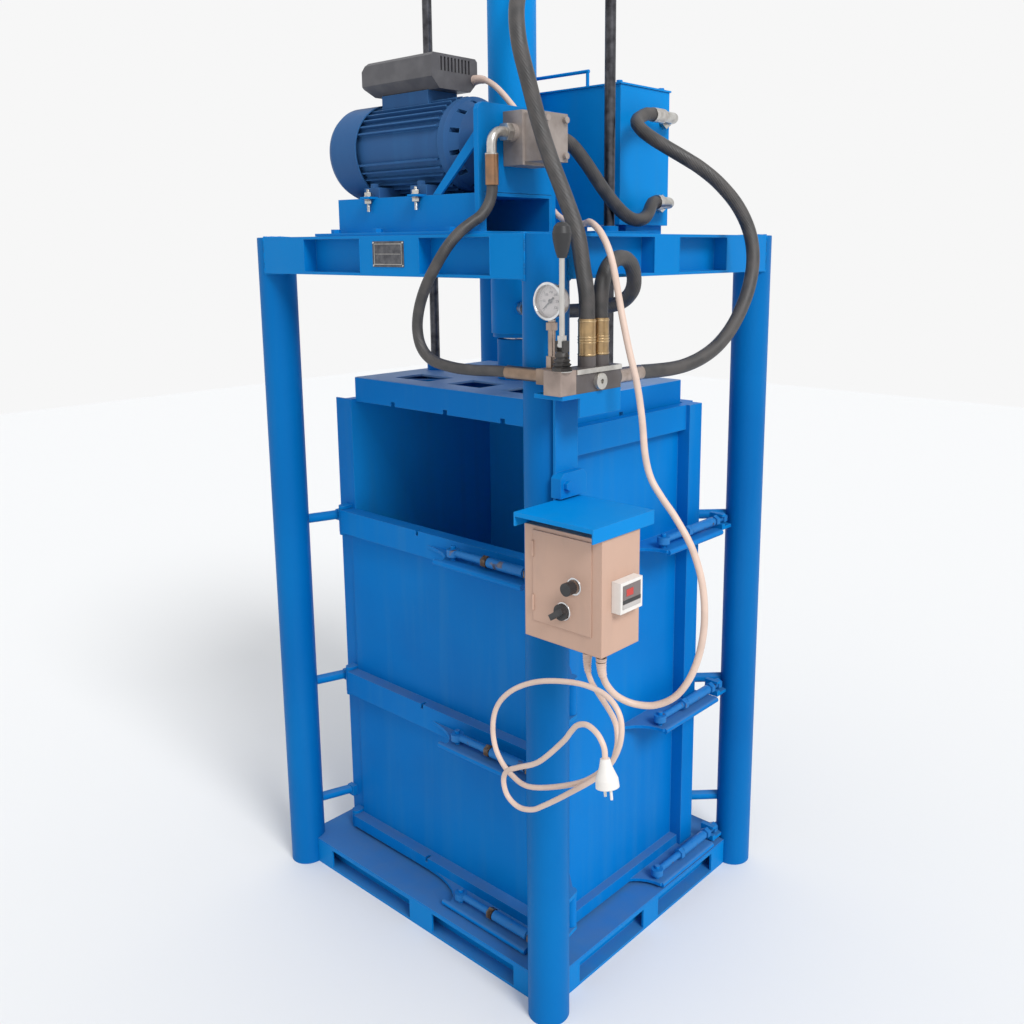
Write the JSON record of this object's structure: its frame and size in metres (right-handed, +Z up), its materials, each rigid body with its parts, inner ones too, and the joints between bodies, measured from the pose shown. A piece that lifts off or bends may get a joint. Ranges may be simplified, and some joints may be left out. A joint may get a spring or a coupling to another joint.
{
  "type": "recycling baler",
  "caption": "Vertical hydraulic recycling baler with a post frame, platen, latched front and side doors, motor pump, oil tank, hand valve and control box.",
  "frame": {"origin": "on the floor, midway between the corner posts", "axes": "+Z up; -Y is the loading side; +X is the side with the valve and the side door"},
  "size_m": [1.2659, 1.0361, 2.33],
  "materials": {
    "blue_paint": "bright blue enamel on welded steel",
    "worn_blue_paint": "blue enamel with dusty edges",
    "greased_steel": "bare steel under brown grease",
    "bare_steel": "zinc plated steel",
    "dark_steel": "oiled dark steel",
    "chrome_rod": "hard chrome",
    "gauge_steel": "stainless gauge case",
    "cast_pump": "machined grey casting",
    "black_plastic": "black moulded plastic",
    "white_plastic": "white moulded plastic",
    "cream_paint": "cream powder coat",
    "black_rubber": "black hydraulic hose",
    "cream_cable": "cream cable jacket"
  },
  "bodies": {
    "frame": {"base_rails_front_rear": "blue_paint", "base_rails_sides": "blue_paint", "floor_plate": "worn_blue_paint", "corner_posts": "blue_paint", "top_rails_front_rear": "blue_paint", "top_rails_sides": "blue_paint", "deck_beams": "blue_paint", "left_wall": "blue_paint", "rear_wall": "blue_paint", "wall_arms": "blue_paint", "front_hinge": "blue_paint", "side_hinge": "blue_paint", "front_lugs": "blue_paint", "side_lugs": "blue_paint", "guide_bushes": "blue_paint", "cylinder_barrel": "blue_paint", "cylinder_gland": "bare_steel", "motor_base": "blue_paint", "motor_body": "blue_paint", "drive_shield": "blue_paint", "fan_cover": "blue_paint", "capacitor_box": "black_plastic", "pump_bracket": "blue_paint", "gear_pump": "cast_pump", "oil_tank": "blue_paint", "tank_lid": "blue_paint", "tank_elbows": "bare_steel", "valve_block": "cast_pump", "gauge_case": "gauge_steel", "valve_bracket": "blue_paint", "control_box": "cream_paint", "box_hood": "worn_blue_paint", "meter": "white_plastic", "cable_glands": "black_plastic", "hose_fittings": "bare_steel", "pressure_hose": "black_rubber", "cap_end_hose": "black_rubber", "rod_end_hose": "black_rubber", "return_hose": "black_rubber", "suction_hose": "black_rubber", "motor_cable": "cream_cable", "supply_cord": "cream_cable", "mains_plug": "white_plastic"},
    "platen": {"platen": "worn_blue_paint", "ram_rod": "chrome_rod", "guide_rods": "dark_steel"},
    "front_door": {"front_door": "worn_blue_paint"},
    "side_door": {"side_door": "worn_blue_paint"},
    "motor_rotor": {"motor_rotor": "dark_steel"},
    "valve_lever": {"valve_lever": "black_plastic"},
    "gauge_pointer": {"gauge_pointer": "black_plastic"},
    "box_door": {"box_door": "cream_paint"},
    "start_button": {"start_button": "black_plastic"},
    "selector_knob": {"selector_knob": "black_plastic"},
    "front_bolt_top": {"front_bolt_top": "greased_steel"},
    "side_bolt_top": {"side_bolt_top": "greased_steel"},
    "front_bolt_middle": {"front_bolt_middle": "greased_steel"},
    "side_bolt_middle": {"side_bolt_middle": "greased_steel"},
    "front_bolt_bottom": {"front_bolt_bottom": "greased_steel"},
    "side_bolt_bottom": {"side_bolt_bottom": "greased_steel"}
  },
  "joints": [
    {"name": "platen_slide", "type": "slide", "parent": "frame", "child": "platen", "axis": [0, 0, -1], "range_m": [0, 0.62]},
    {"name": "front_door_hinge", "type": "hinge", "parent": "frame", "child": "front_door", "pos_m": [-0.36, -0.268, 0.5], "axis": [0, 0, -1], "range_deg": [0, 90]},
    {"name": "side_door_hinge", "type": "hinge", "parent": "frame", "child": "side_door", "pos_m": [0.4, -0.262, 0.66], "axis": [0, 0, -1], "range_deg": [0, 90]},
    {"name": "front_bolt_top_pivot", "type": "hinge", "parent": "front_door", "child": "front_bolt_top", "pos_m": [0.11, -0.325, 0.956], "axis": [0, 0, -1], "range_deg": [0, 90]},
    {"name": "front_bolt_middle_pivot", "type": "hinge", "parent": "front_door", "child": "front_bolt_middle", "pos_m": [0.11, -0.325, 0.512], "axis": [0, 0, -1], "range_deg": [0, 90]},
    {"name": "front_bolt_bottom_pivot", "type": "hinge", "parent": "front_door", "child": "front_bolt_bottom", "pos_m": [0.11, -0.325, 0.102], "axis": [0, 0, -1], "range_deg": [0, 90]},
    {"name": "side_bolt_top_pivot", "type": "hinge", "parent": "side_door", "child": "side_bolt_top", "pos_m": [0.41, 0.06, 0.956], "axis": [0, 0, -1], "range_deg": [0, 90]},
    {"name": "side_bolt_middle_pivot", "type": "hinge", "parent": "side_door", "child": "side_bolt_middle", "pos_m": [0.41, 0.06, 0.512], "axis": [0, 0, -1], "range_deg": [0, 90]},
    {"name": "side_bolt_bottom_pivot", "type": "hinge", "parent": "side_door", "child": "side_bolt_bottom", "pos_m": [0.41, 0.06, 0.102], "axis": [0, 0, -1], "range_deg": [0, 90]},
    {"name": "motor_spin", "type": "hinge", "parent": "frame", "child": "motor_rotor", "pos_m": [-0.1, -0.263, 1.835], "axis": [1, 0, 0], "continuous": true},
    {"name": "lever_tilt", "type": "hinge", "parent": "frame", "child": "valve_lever", "pos_m": [0.538, -0.451, 1.454], "axis": [1, 0, 0], "range_deg": [-12, 12], "stiffness_Nm_per_rad": 6},
    {"name": "pointer_turn", "type": "hinge", "parent": "frame", "child": "gauge_pointer", "pos_m": [0.494, -0.431, 1.529], "axis": [0, 1, 0], "range_deg": [0, 270]},
    {"name": "box_door_hinge", "type": "hinge", "parent": "frame", "child": "box_door", "pos_m": [0.51, -0.501, 1.02], "axis": [0, 0, -1], "range_deg": [0, 100]},
    {"name": "button_press", "type": "slide", "parent": "box_door", "child": "start_button", "axis": [0, 1, 0], "range_m": [0, 0.004], "stiffness_N_per_m": 500},
    {"name": "selector_turn", "type": "hinge", "parent": "box_door", "child": "selector_knob", "pos_m": [0.582, -0.5, 0.983], "axis": [0, 1, 0], "range_deg": [-45, 45]}
  ]
}
